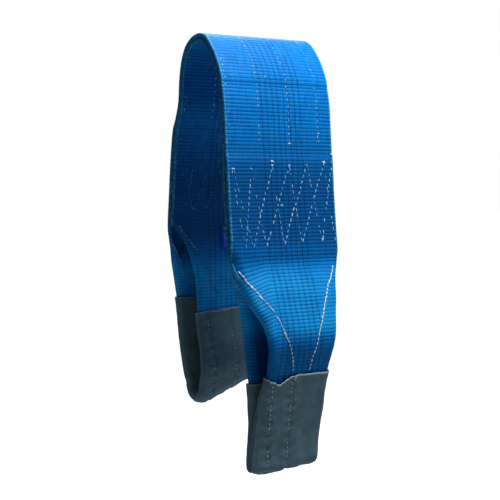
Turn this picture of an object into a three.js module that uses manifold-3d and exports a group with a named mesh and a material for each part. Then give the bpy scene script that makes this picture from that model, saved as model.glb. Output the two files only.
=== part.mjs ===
// A two-ply flat web sling with folded, sleeved eyes, hanging folded over a bar.
// Millimetres, +Z up. X runs across the web, the front limb is at -Y and the back limb at +Y.
// The origin is on the underside of the crown, at mid width, where the bar bears.
// The load web is one endless length on the real sling. Here it is cut at the four lines where the
// sling bends, so that each length can turn as one stiff piece.
import * as THREE from "three";
import { mergeVertices } from "three/addons/utils/BufferGeometryUtils.js";
import Module from "manifold-3d";

const wasm = await Module();
wasm.setup();

// Webbing
const webWidth = 200;
const ply = 6.6; // one ply of the load web
const gap = 0.2; // left on each side of layers that touch
const liner = 2; // reinforcing web inside each eye
const sleeveWall = 1.2;
const sleeveEase = 1; // slack at the two edges of the web in its sleeve
const halfWidth = webWidth / 2;
const bodyFace = gap + ply; // from the middle of the body to its face
const blockFace = gap + liner + gap + ply; // the same where the plies lie over the liner's tails
// Sewing thread
const threadWidth = 1.4;
const threadHeight = 0.7;
const threadLift = 0.1;
const longSeams = [-92, -38, 17, 72]; // places across the web
const blockColumns = [-89, -55, -20, 14, 49, 79, 95]; // turns of the zigzags that close each eye
const blockHeight = 122;
const turnWidth = 2.4; // flat at each turn of a zigzag
const foldStitchInset = 8;
const sleeveSeamInset = 18;
const hemGap = 3; // between the end of a fold's stitching and the sleeve's hem
// Where the two plies part, above the top of the stitched block
const partingStarts = 24;
const partingEnds = 12;
// The liner's tails between the plies
const tailHalfWidth = 50;
// The folded edges of each eye
const flapOverlap = 0.5; // the folded edge grows out of the web by this
const foldRise = 6; // the fold starts this far under the throat
const foldPower = 1.7; // how fast the fold line leaves the web's edge
const linerInset = 4; // from the fold line
const linerFall = 30; // the liner starts this far under the throat
// Label, sewn by its top margin to the back eye, on the side that faces the front limb
const label = {
  left: -8, right: 42, top: -301, margin: 7, height: 28, thickness: 0.9,
  turnGap: 1, rowInset: 3,
};

const webBlue = new THREE.MeshStandardMaterial({ color: 0x0a63c4, roughness: 0.62, metalness: 0 });
const linerBlue = new THREE.MeshStandardMaterial({ color: 0x084a94, roughness: 0.7, metalness: 0 });
const sleeveGrey = new THREE.MeshStandardMaterial({ color: 0x3b4d58, roughness: 0.8, metalness: 0 });
const threadWhite = new THREE.MeshStandardMaterial({ color: 0xd9e6f2, roughness: 0.55, metalness: 0 });
const threadGrey = new THREE.MeshStandardMaterial({ color: 0x8d99a0, roughness: 0.6, metalness: 0 });
const labelBlue = new THREE.MeshStandardMaterial({ color: 0x1238c8, roughness: 0.5, metalness: 0 });

// Side-view lines, as points (y, z) of a middle surface. The outside is on the left of each line.
const crown = {
  front: [[-70.2, -63], [-58.5, -39], [-38, -12.5], [-20, 2.5], [-4, bodyFace]],
  back: [[4, bodyFace], [20, 3.5], [38, -7], [51.5, -28], [58.5, -55], [61.6, -87]],
};
const front = {
  name: "front",
  body: [[-71.8, -73], [-77, -95], [-84.4, -170], [-91, -252], [-99.5, -322], [-101.8, -337]],
  startsAtCrown: false,
  blockTop: -202,
  farLeg: [[-97.5, -348], [-95, -370], [-91, -410], [-88, -455], [-87.5, -500], [-89, -540], [-89, -594],
    [-84.5, -640]],
  bend: { y: -102, z: -663, radius: 15, level: 6 },
  nearLeg: [[-122, -640], [-127, -594], [-137, -526], [-143.5, -490], [-145.5, -455], [-138, -415],
    [-125, -379], [-109.5, -348]],
  throat: -342,
  foldEnd: -498,
  folded: { left: -54, right: 60 },
  foldedAtBend: { left: -64, right: 47 },
  sleeveTop: { far: -536, near: -529 },
};
const back = {
  name: "back",
  body: [[63.8, -97], [70, -113], [81, -138], [90, -187], [98.5, -266], [100, -280]],
  startsAtCrown: true,
  blockTop: -147,
  farLeg: [[106.5, -291], [124, -336], [141, -380], [148, -421], [144.5, -460], [135, -520], [123, -562]],
  bend: { y: 88, z: -568, radius: 30, level: 0 },
  nearLeg: [[54.5, -550], [59, -522], [70, -489], [80, -458], [84.5, -430], [86, -394], [86, -340],
    [94, -291]],
  throat: -285,
  foldEnd: -421,
  folded: { left: -56, right: 58 },
  foldedAtBend: { left: -56, right: 54 },
  sleeveTop: { far: -424, near: -440 },
};

const sling = new THREE.Group();

function addPiece(name, geometry, material) {
  const mesh = new THREE.Mesh(geometry, material);
  mesh.name = name;
  sling.add(mesh);
}

// ---- Lines in the side view and outlines in the front view ----
const point = ([a, b]) => new THREE.Vector2(a, b);

function smooth(points, perSpan) {
  const through = points.map(([y, z]) => new THREE.Vector3(0, y, z));
  const curve = new THREE.CatmullRomCurve3(through, false, "centripetal");
  return curve.getPoints((points.length - 1) * perSpan).map((p) => new THREE.Vector2(p.y, p.z));
}

// The left-hand side of a line at each point, lengthened at a bend so that offset spans stay parallel
function sides(line) {
  return line.map((p, i) => {
    const before = i > 0 ? p.clone().sub(line[i - 1]).normalize() : null;
    const after = i < line.length - 1 ? line[i + 1].clone().sub(p).normalize() : null;
    const along = (before ?? after).clone().add(after ?? before).normalize();
    return new THREE.Vector2(-along.y, along.x).divideScalar(along.dot(before ?? after));
  });
}

// distance is a number, or a function of the point
function offset(line, distance) {
  const side = sides(line);
  const by = typeof distance === "function" ? distance : () => distance;
  return line.map((p, i) => p.clone().addScaledVector(side[i], by(p)));
}

// The part of a line between two heights, cut exactly there. Infinity leaves an end as it is.
function between(line, low, high) {
  const kept = [];
  line.forEach((p, i) => {
    const q = line[i - 1];
    if (q) {
      const cuts = [low, high].filter((z) => (p.y - z) * (q.y - z) < 0);
      cuts.sort((a, b) => Math.abs(a - q.y) - Math.abs(b - q.y));
      cuts.forEach((z) => kept.push(q.clone().lerp(p, (z - q.y) / (p.y - q.y))));
    }
    if (p.y >= low && p.y <= high) kept.push(p);
  });
  return kept;
}

// ---- Solids ----
const acrossWeb = new THREE.Matrix4().makeBasis(
  new THREE.Vector3(0, 1, 0), new THREE.Vector3(0, 0, 1), new THREE.Vector3(1, 0, 0),
);
const throughWeb = new THREE.Matrix4().makeBasis(
  new THREE.Vector3(1, 0, 0), new THREE.Vector3(0, 0, 1), new THREE.Vector3(0, -1, 0),
);

// A layer between two offsets of a line, running across the web from left to right
function layer(line, inner, outer, left = -halfWidth, right = halfWidth) {
  const outline = new THREE.Shape([...offset(line, inner), ...offset(line, outer).reverse()]);
  const geometry = new THREE.ExtrudeGeometry(outline, { depth: right - left, bevelEnabled: false });
  return geometry.translate(0, 0, left).applyMatrix4(acrossWeb);
}

// An outline of points (x, z), made solid through the whole sling
function cutter(points) {
  const depth = 500;
  const geometry = new THREE.ExtrudeGeometry(new THREE.Shape(points), { depth, bevelEnabled: false });
  return geometry.translate(0, 0, -depth / 2).applyMatrix4(throughWeb);
}

function solid(geometry) {
  const bare = geometry.clone();
  bare.deleteAttribute("normal");
  bare.deleteAttribute("uv");
  const merged = mergeVertices(bare, 1e-4);
  const vertProperties = merged.attributes.position.array;
  const triVerts = new Uint32Array(merged.index.array);
  return new wasm.Manifold(new wasm.Mesh({ numProp: 3, vertProperties, triVerts }));
}

function geometryOf(made) {
  const mesh = made.getMesh();
  const geometry = new THREE.BufferGeometry();
  geometry.setAttribute("position", new THREE.BufferAttribute(new Float32Array(mesh.vertProperties), 3));
  geometry.setIndex(new THREE.BufferAttribute(new Uint32Array(mesh.triVerts), 1));
  geometry.computeVertexNormals();
  return geometry;
}

// Rows of stitching, given as lines (x, z), laid on a face. A negative face is on the inside.
function thread(line, face, rows) {
  const low = face + Math.sign(face) * threadLift;
  const high = low + Math.sign(face) * threadHeight;
  const sheet = solid(layer(line, Math.min(low, high), Math.max(low, high)));
  const sewn = rows.map((row) => {
    const outline = [...offset(row, threadWidth / 2), ...offset(row, -threadWidth / 2).reverse()];
    return sheet.intersect(solid(cutter(outline)));
  });
  return geometryOf(sewn.reduce((a, b) => a.add(b)));
}

function straightSeam(line, face, x) {
  const low = face + threadLift;
  return layer(line, low, low + threadHeight, x - threadWidth / 2, x + threadWidth / 2);
}

// ---- Crown ----
function crownBody() {
  const perSpan = 3;
  const line = [...smooth(crown.front, perSpan), ...smooth(crown.back, perSpan)];
  addPiece("crown_outer_ply", layer(line, gap, bodyFace), webBlue);
  addPiece("crown_inner_ply", layer(line, -bodyFace, -gap), webBlue);
  longSeams.forEach((x, i) => {
    addPiece(`crown_seam_${i + 1}`, straightSeam(line, bodyFace, x), threadWhite);
  });
}

// ---- Limbs: two plies, which part lower down over the tails of the eye's liner ----
function limbBody({ name, body, startsAtCrown, blockTop }) {
  const partTop = blockTop + partingStarts;
  const partEnd = blockTop + partingEnds;
  const drawn = body.map(point);
  const down = [
    ...between(drawn, partTop, Infinity),
    ...between(drawn, partEnd, partTop).slice(1),
    ...between(drawn, -Infinity, partEnd).slice(1),
  ];
  const line = startsAtCrown ? down : down.reverse();
  const parted = (above, below) => (p) => (p.y > partTop - 1 ? above : below);
  const outer = layer(line, parted(gap, gap + liner + gap), parted(bodyFace, blockFace));
  const inner = layer(line, parted(-bodyFace, -blockFace), parted(-gap, -gap - liner - gap));
  addPiece(`${name}_limb_outer_ply`, outer, webBlue);
  addPiece(`${name}_limb_inner_ply`, inner, webBlue);

  const tails = between(line, -Infinity, partEnd);
  const tailOuter = layer(tails, gap / 2, gap / 2 + liner, -tailHalfWidth, tailHalfWidth);
  const tailInner = layer(tails, -gap / 2 - liner, -gap / 2, -tailHalfWidth, tailHalfWidth);
  addPiece(`${name}_liner_tail_outer`, tailOuter, linerBlue);
  addPiece(`${name}_liner_tail_inner`, tailInner, linerBlue);

  const single = between(line, partTop, Infinity);
  longSeams.forEach((x, i) => {
    addPiece(`${name}_seam_${i + 1}`, straightSeam(single, bodyFace, x), threadWhite);
  });

  const zigzags = [0, 1].map((start) =>
    blockColumns.flatMap((x, i) => {
      const z = (i + start) % 2 ? blockTop - blockHeight : blockTop;
      return [new THREE.Vector2(x - turnWidth / 2, z), new THREE.Vector2(x + turnWidth / 2, z)];
    }),
  );
  addPiece(`${name}_block_stitch_outer`, thread(line, blockFace, zigzags), threadWhite);
  addPiece(`${name}_block_stitch_inner`, thread(line, -blockFace, zigzags), threadWhite);
}

// ---- Eyes: the web runs round a loop with its edges folded in, over a liner, in a wear sleeve ----
function eyeLine({ farLeg, bend, nearLeg }) {
  const steps = 9; // odd, so that one lies level at the bottom
  const turn = Array.from({ length: steps + 1 }, (_, i) => {
    const angle = (Math.PI * i) / steps;
    const centre = bend.y + (Math.sign(Math.cos(angle)) * bend.level) / 2;
    return new THREE.Vector2(centre + bend.radius * Math.cos(angle), bend.z - bend.radius * Math.sin(angle));
  });
  const perSpan = 2;
  return [...smooth(farLeg, perSpan), ...turn, ...smooth(nearLeg, perSpan)];
}

// One fold line, from the web's edge at the throat to its place at the bend, as (x, z)
const underBend = 60; // outlines run on this far under the bend's centre
function foldLine({ throat, foldEnd, folded, foldedAtBend, bend }, hand) {
  const edge = hand === "left" ? -halfWidth : halfWidth;
  const steps = 6;
  const line = Array.from({ length: steps + 1 }, (_, i) => {
    const x = folded[hand] + (edge - folded[hand]) * (1 - i / steps) ** foldPower;
    return new THREE.Vector2(x, throat - foldRise + ((foldEnd - throat + foldRise) * i) / steps);
  });
  const deep = bend.z - underBend;
  const lean = (foldedAtBend[hand] - folded[hand]) / (bend.z - foldEnd);
  line.push(new THREE.Vector2(folded[hand] + lean * (deep - foldEnd), deep));
  return line;
}

const shifted = (line, by) => line.map((p) => new THREE.Vector2(p.x + by, p.y));

function eyeBody(limb) {
  const { name, throat, foldEnd, sleeveTop } = limb;
  const loop = eyeLine(limb);
  const left = foldLine(limb, "left");
  const right = foldLine(limb, "right");
  const overThroat = throat + 40;
  const top = [new THREE.Vector2(halfWidth, overThroat), new THREE.Vector2(-halfWidth, overThroat)];

  // The folded edges lie inside the loop, each from its fold line to the web's own edge
  const webOutline = solid(cutter([...left, ...right.toReversed(), ...top]));
  let web = solid(layer(loop, -ply / 2, ply / 2)).intersect(webOutline);
  const flapFace = -1.5 * ply;
  const flapLayer = solid(layer(loop, flapFace, -ply / 2 + flapOverlap));
  for (const [line, edge] of [[left, -halfWidth], [right, halfWidth]]) {
    const turned = line.slice(1);
    const free = turned.map((p) => new THREE.Vector2(2 * p.x - edge, p.y));
    web = web.add(flapLayer.intersect(solid(cutter([...turned, ...free.reverse()]))));
  }
  addPiece(`${name}_eye_web`, geometryOf(web), webBlue);

  const linerFace = flapFace - gap;
  const linerOutline = [...shifted(left, linerInset), ...shifted(right, -linerInset).reverse()];
  const linerLoop = between(loop, -Infinity, throat - linerFall);
  const linerLayer = solid(layer(linerLoop, linerFace - liner, linerFace));
  addPiece(`${name}_eye_liner`, geometryOf(linerLayer.intersect(solid(cutter(linerOutline)))), linerBlue);

  // The sleeve is a flat tube drawn over the web, cut to its own height on each leg
  const middle = loop.findIndex((p) => p.x < limb.bend.y);
  const far = between(loop.slice(0, middle), -Infinity, sleeveTop.far);
  const near = between(loop.slice(middle), -Infinity, sleeveTop.near);
  const sleeveLine = [...far, ...near];
  const boreInner = linerFace - liner - gap;
  const boreOuter = ply / 2 + gap;
  const boreOutline = [...shifted(left, -sleeveEase), ...shifted(right, sleeveEase).reverse()];
  const wallOutline = [
    ...shifted(left, -sleeveEase - sleeveWall),
    ...shifted(right, sleeveEase + sleeveWall).reverse(),
  ];
  const tube = solid(layer(sleeveLine, boreInner - sleeveWall, boreOuter + sleeveWall));
  const bore = solid(layer(loop, boreInner, boreOuter)).intersect(solid(cutter(boreOutline)));
  const sleeve = tube.intersect(solid(cutter(wallOutline))).subtract(bore);
  addPiece(`${name}_eye_sleeve`, geometryOf(sleeve), sleeveGrey);

  // A row of stitching holds each folded edge, on both legs
  const legs = { far: loop.slice(0, middle), near: loop.slice(middle) };
  for (const [leg, line] of Object.entries(legs)) {
    for (const [hand, fold] of [["left", left], ["right", right]]) {
      const edge = hand === "left" ? -halfWidth : halfWidth;
      const inward = -Math.sign(edge) * foldStitchInset;
      const free = fold.slice(0, -1).map((p) => new THREE.Vector2(2 * p.x - edge - inward, p.y));
      free[0].x = edge + inward;
      const last = new THREE.Vector2(2 * limb.folded[hand] - edge - inward, limb.bend.z);
      const row = between([...free, last], sleeveTop[leg] + hemGap, Infinity);
      addPiece(`${name}_fold_stitch_${leg}_${hand}`, thread(line, ply / 2, [row]), threadWhite);
    }
  }

  // Two rows close the sleeve along its outside
  const sleeveFace = boreOuter + sleeveWall;
  const rows = {
    centre: (limb.folded.left + limb.folded.right) / 2,
    edge: limb.folded.left + sleeveSeamInset,
  };
  for (const [row, x] of Object.entries(rows)) {
    addPiece(`${name}_sleeve_seam_${row}`, straightSeam(sleeveLine, sleeveFace, x), threadGrey);
  }
}

// ---- Label: a margin sewn to the web, and a tag that turns up below it ----
function labelBody() {
  const leg = smooth(back.nearLeg, 4);
  const low = ply / 2 + gap;
  const high = low + label.thickness;
  const marginEnd = label.top - label.margin;
  const tagTop = marginEnd - label.turnGap;
  const margin = layer(between(leg, marginEnd, label.top), low, high, label.left, label.right);
  const tag = layer(between(leg, tagTop - label.height, tagTop), low, high, label.left, label.right);
  addPiece("label_margin", margin, labelBlue);
  addPiece("label_tag", tag, labelBlue);

  const ends = [label.left + label.rowInset, label.right - label.rowInset];
  const row = ends.map((x) => new THREE.Vector2(x, label.top - label.margin / 2));
  addPiece("label_stitch", thread(leg, high, [row]), threadWhite);
}

crownBody();
for (const limb of [front, back]) {
  limbBody(limb);
  eyeBody(limb);
}
labelBody();

export default sling;
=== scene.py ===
import math
import random
from bisect import bisect_right
from functools import partial

import bpy
from mathutils import Matrix, Vector, noise


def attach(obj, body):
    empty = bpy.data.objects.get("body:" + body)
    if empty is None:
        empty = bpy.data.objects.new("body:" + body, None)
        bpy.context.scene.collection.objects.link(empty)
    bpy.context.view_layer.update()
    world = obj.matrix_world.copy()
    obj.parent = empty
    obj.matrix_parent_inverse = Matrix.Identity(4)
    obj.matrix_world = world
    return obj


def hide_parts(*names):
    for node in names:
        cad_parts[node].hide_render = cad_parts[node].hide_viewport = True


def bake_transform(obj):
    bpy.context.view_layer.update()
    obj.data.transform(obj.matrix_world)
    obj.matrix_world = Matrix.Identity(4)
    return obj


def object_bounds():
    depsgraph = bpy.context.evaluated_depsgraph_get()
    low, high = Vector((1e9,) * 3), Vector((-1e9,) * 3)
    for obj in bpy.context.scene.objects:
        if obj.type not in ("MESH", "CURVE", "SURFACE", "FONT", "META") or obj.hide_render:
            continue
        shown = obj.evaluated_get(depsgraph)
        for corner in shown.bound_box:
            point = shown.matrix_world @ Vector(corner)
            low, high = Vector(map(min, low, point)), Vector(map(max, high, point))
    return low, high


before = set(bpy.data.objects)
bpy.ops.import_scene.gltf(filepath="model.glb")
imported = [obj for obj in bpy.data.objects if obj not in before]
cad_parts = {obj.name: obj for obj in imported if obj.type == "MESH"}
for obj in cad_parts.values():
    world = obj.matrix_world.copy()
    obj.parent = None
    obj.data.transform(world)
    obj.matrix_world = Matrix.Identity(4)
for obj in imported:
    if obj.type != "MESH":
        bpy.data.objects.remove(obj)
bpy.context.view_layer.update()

# A flat web sling hung over its middle: two plies of woven webbing, folded eyes, wear sleeves and a label.
# Lengths in the dictionaries are millimetres. Side-view points are (y, z), as in the CAD.
bpy.ops.object.select_all(action="DESELECT")
random.seed(8)
mm = 0.001

web = {
    "halfWidth": 100,
    "faceEnd": 97.4,  # where the face turns into the rounded selvedge
    "seamWobble": 0.8, "wobbleLength": 37,
    "halfThick": 3.1,
    "plyApart": 3.5,  # from the middle of the body to the middle of one ply
    "blockApart": 5.6,  # the same over the liner's tails
    "rib": 5.8,  # from one weft rib to the next
    "relief": 0.36,
    "edgeRound": 2.6,
    "seams": [-92, -38, 17, 72],
    "seamSink": 0.7,
}
crown = {
    "front": [[-70.2, -63], [-58.5, -39], [-38, -12.5], [-20, 2.5], [-4, 6.8], [0, 7.0]],
    "back": [[0, 7.0], [4, 6.8], [20, 3.5], [38, -7], [51.5, -28], [58.5, -55], [61.6, -87]],
}
front = {
    "name": "front",
    "outward": -1,  # the loop's outside is on the right of its line
    "body": [[-71.8, -73], [-77, -95], [-84.4, -170], [-91, -252], [-99.5, -322], [-101.8, -337]],
    "cut": -168,
    "parting": (-178, -192),
    "firstLeg": [[-108.5, -352], [-120, -379], [-133, -415], [-144, -452], [-145.5, -474], [-141, -497],
                 [-133, -528], [-122, -594], [-116, -640]],
    "bend": {"y": -104, "z": -668, "radius": 11},
    "lastLeg": [[-92, -640], [-89, -594], [-88, -540], [-87.5, -500], [-88, -455], [-91, -410], [-95, -372],
                [-97.0, -352]],
    "bodyEnd": -334,
    "flat": [[-300, 100, 100], [-326, 90, 93], [-350, 78, 86], [-372, 71.5, 80], [-404, 64, 74],
             [-434, 52.5, 68], [-465, 46, 63.5], [-500, 43, 58], [-532, 42, 54.5], [-563, 49, 52],
             [-603, 53, 50], [-650, 56, 48], [-700, 57, 45]],
    "flatLast": [[-300, 100, 100], [-326, 93, 93], [-350, 84, 86], [-372, 77, 80], [-410, 72, 74],
                 [-455, 63, 66], [-500, 57, 58], [-540, 53, 54], [-603, 50, 50], [-650, 55, 48],
                 [-700, 57, 45]],
    "roll": [[-300, 26], [-350, 16], [-372, 9.5], [-410, 6], [-455, 4.8], [-700, 4.2]],
    "sewn": [[-340, -97, 98], [-369, -75, 80], [-395, -60, 64], [-419, -45, 53], [-438, -35, 45],
             [-457, -27, 37], [-476, -18, 32], [-500, -10, 26], [-560, -4, 20]],
    "hem": {"first": [[-70, -527], [-52, -530], [-38, -536], [-18, -528], [0, -523.5], [30, -522.5],
                      [70, -523]],
            "last": [[-70, -542], [0, -537], [70, -533]]},
    "slope": 0.065,
    "slopeSpan": (570, 660),
    "skew": {"from": -42, "by": 0.34, "top": -330, "bottom": -545},
}
back = {
    "name": "back",
    "outward": 1,
    "body": [[63.8, -97], [70, -113], [81, -138], [90, -187], [98.5, -266], [100, -280]],
    "cut": -118,
    "parting": (-124, -137),
    "firstLeg": [[108.5, -295], [124, -336], [141, -380], [148, -421], [144.5, -460], [135, -520],
                 [123, -562]],
    "bend": {"y": 88, "z": -568, "radius": 30},
    "lastLeg": [[54.5, -550], [59, -522], [70, -489], [80, -458], [84.5, -430], [86, -394], [86, -340],
                [91.5, -298]],
    "bodyEnd": -277,
    "flat": [[-250, 100, 100], [-272, 97, 92], [-296, 91, 79], [-322, 84, 73], [-356, 75, 65],
             [-390, 64, 56], [-424, 57, 53], [-500, 54, 51], [-560, 52, 50], [-640, 52, 49]],
    "flatLast": [[-250, 100, 100], [-272, 92, 92], [-296, 78, 79], [-322, 66, 73], [-356, 56, 65],
                 [-390, 48, 54], [-424, 46, 52], [-500, 48, 51], [-560, 52, 50], [-640, 52, 49]],
    "sewn": [[-284, -95, 95], [-296, -86, 86], [-322, -69, 70], [-356, -48, 50], [-390, -28, 30],
             [-424, -16, 20], [-460, -12, 14]],
    "roll": [[-250, 26], [-296, 12], [-322, 7], [-356, 5], [-424, 4.6], [-640, 4.2]],
    "hem": {"first": [[-70, -424], [0, -424], [70, -428]],
            "last": [[-70, -446], [-30, -444], [20, -440], [70, -436]]},
    "slope": 0.38,
    "slopeSpan": (455, 590),
}


# Lines and tables
def smoothLine(points, perSpan=14):
    # a centripetal curve through the points
    ends = [[2 * a - b for a, b in zip(points[i], points[j])] for i, j in ((0, 1), (-1, -2))]
    padded = [Vector(p) for p in [ends[0], *points, ends[1]]]
    line = []
    for first in range(len(points) - 1):
        p = padded[first:first + 4]
        t = [0]
        for a, b in zip(p, p[1:]):
            t.append(t[-1] + (b - a).length ** 0.5)
        for k in range(perSpan):
            now = t[1] + (t[2] - t[1]) * k / perSpan
            a = [p[j].lerp(p[j + 1], (now - t[j]) / (t[j + 1] - t[j])) for j in range(3)]
            b = [a[j].lerp(a[j + 1], (now - t[j]) / (t[j + 2] - t[j])) for j in range(2)]
            line.append(b[0].lerp(b[1], (now - t[1]) / (t[2] - t[1])))
    return line + [Vector(points[-1])]


def leftOf(line):
    sides = []
    for i in range(len(line)):
        along = line[min(i + 1, len(line) - 1)] - line[max(i - 1, 0)]
        sides.append(Vector((-along.y, along.x)).normalized())
    return sides


def shiftLine(line, by):
    return [p + side * by(p.y) for p, side in zip(line, leftOf(line))]


def measured(line):
    # a line with the distance along it at each point
    lengths = [0.0]
    for a, b in zip(line, line[1:]):
        lengths.append(lengths[-1] + (b - a).length)
    return {"points": line, "lengths": lengths, "length": lengths[-1]}


def at(path, s):
    lengths = path["lengths"]
    i = min(max(bisect_right(lengths, s) - 1, 0), len(lengths) - 2)
    share = (s - lengths[i]) / (lengths[i + 1] - lengths[i])
    return path["points"][i].lerp(path["points"][i + 1], share)


def sideAt(path, s, reach=1.5):
    along = (at(path, s + reach) - at(path, s - reach)).normalized()
    return Vector((-along.y, along.x))


def table(rows, column):
    # values down the web, as a smooth function of height
    line = smoothLine([[row[0], row[column]] for row in sorted(rows)], 6)
    heights = [p.x for p in line]

    def value(z):
        i = min(max(bisect_right(heights, z) - 1, 0), len(heights) - 2)
        share = min(max((z - heights[i]) / max(heights[i + 1] - heights[i], 1e-6), 0), 1)
        return line[i].y + (line[i + 1].y - line[i].y) * share

    return value


def flatTables(limb):
    # half widths of the flat middle of the cloth, as (left, right) for the first leg and the last
    keys = {True: "flat", False: "flatLast"}
    return {first: (table(limb[key], 1), table(limb[key], 2)) for first, key in keys.items()}


def fade(value, start, end):
    t = min(max((value - start) / (end - start), 0), 1)
    return t * t * (3 - 2 * t)


# Meshes
def gridPiece(name, columns, rows, place, uv, capped=True):
    # a grid laid out by place(column, row) and joined along its two sides, so each row is a closed section
    bpy.ops.mesh.primitive_grid_add(x_subdivisions=columns, y_subdivisions=rows - 1, size=1)
    piece = bpy.context.object
    piece.name = name
    mesh = piece.data
    cells = [(round((v.co.x + 0.5) * columns), round((v.co.y + 0.5) * (rows - 1))) for v in mesh.vertices]
    spots = {cell: place(cell[0] % columns, cell[1]) for cell in set(cells)}
    mesh.vertices.foreach_set("co", [c * mm for cell in cells for c in spots[cell]])
    layer = mesh.uv_layers[0]
    flat = []
    for loop in mesh.loops:
        flat += [c * mm for c in uv(*cells[loop.vertex_index])]
    layer.data.foreach_set("uv", flat)
    layer.name = "cloth"
    bpy.ops.object.mode_set(mode="EDIT")
    bpy.ops.mesh.select_all(action="SELECT")
    bpy.ops.mesh.remove_doubles(threshold=2e-6)
    if capped:
        bpy.ops.mesh.select_all(action="DESELECT")
        bpy.ops.mesh.select_mode(type="EDGE")
        bpy.ops.mesh.select_non_manifold(extend=False)
        bpy.ops.mesh.fill_holes(sides=0)
        bpy.ops.mesh.select_mode(type="VERT")
    bpy.ops.mesh.select_all(action="SELECT")
    bpy.ops.mesh.normals_make_consistent(inside=False)
    bpy.ops.mesh.select_all(action="DESELECT")
    bpy.ops.object.mode_set(mode="OBJECT")
    bpy.ops.object.shade_smooth_by_angle(angle=math.radians(60))
    piece.select_set(False)
    return piece


def clothSection(places, halfThick, edgeRound, half):
    # the closed outline of a strap: across its face, round one selvedge, back, and round the other
    corner = [math.radians(a) for a in (60, 30, 0, -30, -60)]
    face = [(w, halfThick, 1.0) for w in places]
    edge = [(half - edgeRound + edgeRound * math.cos(a), halfThick * math.sin(a), 0.0) for a in corner]
    under = [(w, -halfThick, 1.0) for w in reversed(places)]
    other = [(-w, -h, 0.0) for w, h, _ in edge]
    return face + edge + under + other


def spread(stops):
    # places across the web, from (end, step) pairs
    places = [stops[0]]
    for end, step in stops[1:]:
        count = max(1, round((end - places[-1]) / step))
        start = places[-1]
        places += [start + (end - start) * (i + 1) / count for i in range(count)]
    return places


ribShape = [(0.0, -0.5), (0.14, 0.12), (0.33, 0.5), (0.67, 0.5), (0.86, 0.12)]


def ribRows(length, hidden=None, coarse=6.0):
    # rows of vertices down the cloth and the relief of each, coarser where a sleeve hides the weave
    pitch = web["rib"]
    rows, s = [], 0.0
    while s < length - 0.6 * pitch:
        if hidden and hidden[0] < s < hidden[1]:
            rows.append((s, 0.0))
            s += coarse
            if s >= hidden[1]:
                s = math.ceil(hidden[1] / pitch) * pitch
        else:
            rows += [(s + share * pitch, rise) for share, rise in ribShape if s + share * pitch < length]
            s += pitch
    rows.append((length, -0.5))
    return rows


# Materials
def linear(code):
    values = [int(code[i:i + 2], 16) / 255 for i in (0, 2, 4)]
    return [*(v / 12.92 if v <= 0.04045 else ((v + 0.055) / 1.055) ** 2.4 for v in values), 1.0]


def addNode(tree, kind, inputs, output=0, **settings):
    # one node with its settings and links, given back as one of its outputs
    node = tree.nodes.new("ShaderNode" + kind)
    for name, value in settings.items():
        setattr(node, name, value)
    for name, value in inputs.items():
        if isinstance(value, bpy.types.NodeSocket):
            tree.links.new(value, node.inputs[name])
        else:
            node.inputs[name].default_value = value
    return node.outputs[output] if node.outputs else None


def newMaterial(name):
    material = bpy.data.materials.new(name)
    material.use_nodes = True
    material.node_tree.nodes.clear()
    return material, partial(addNode, material.node_tree)


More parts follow.
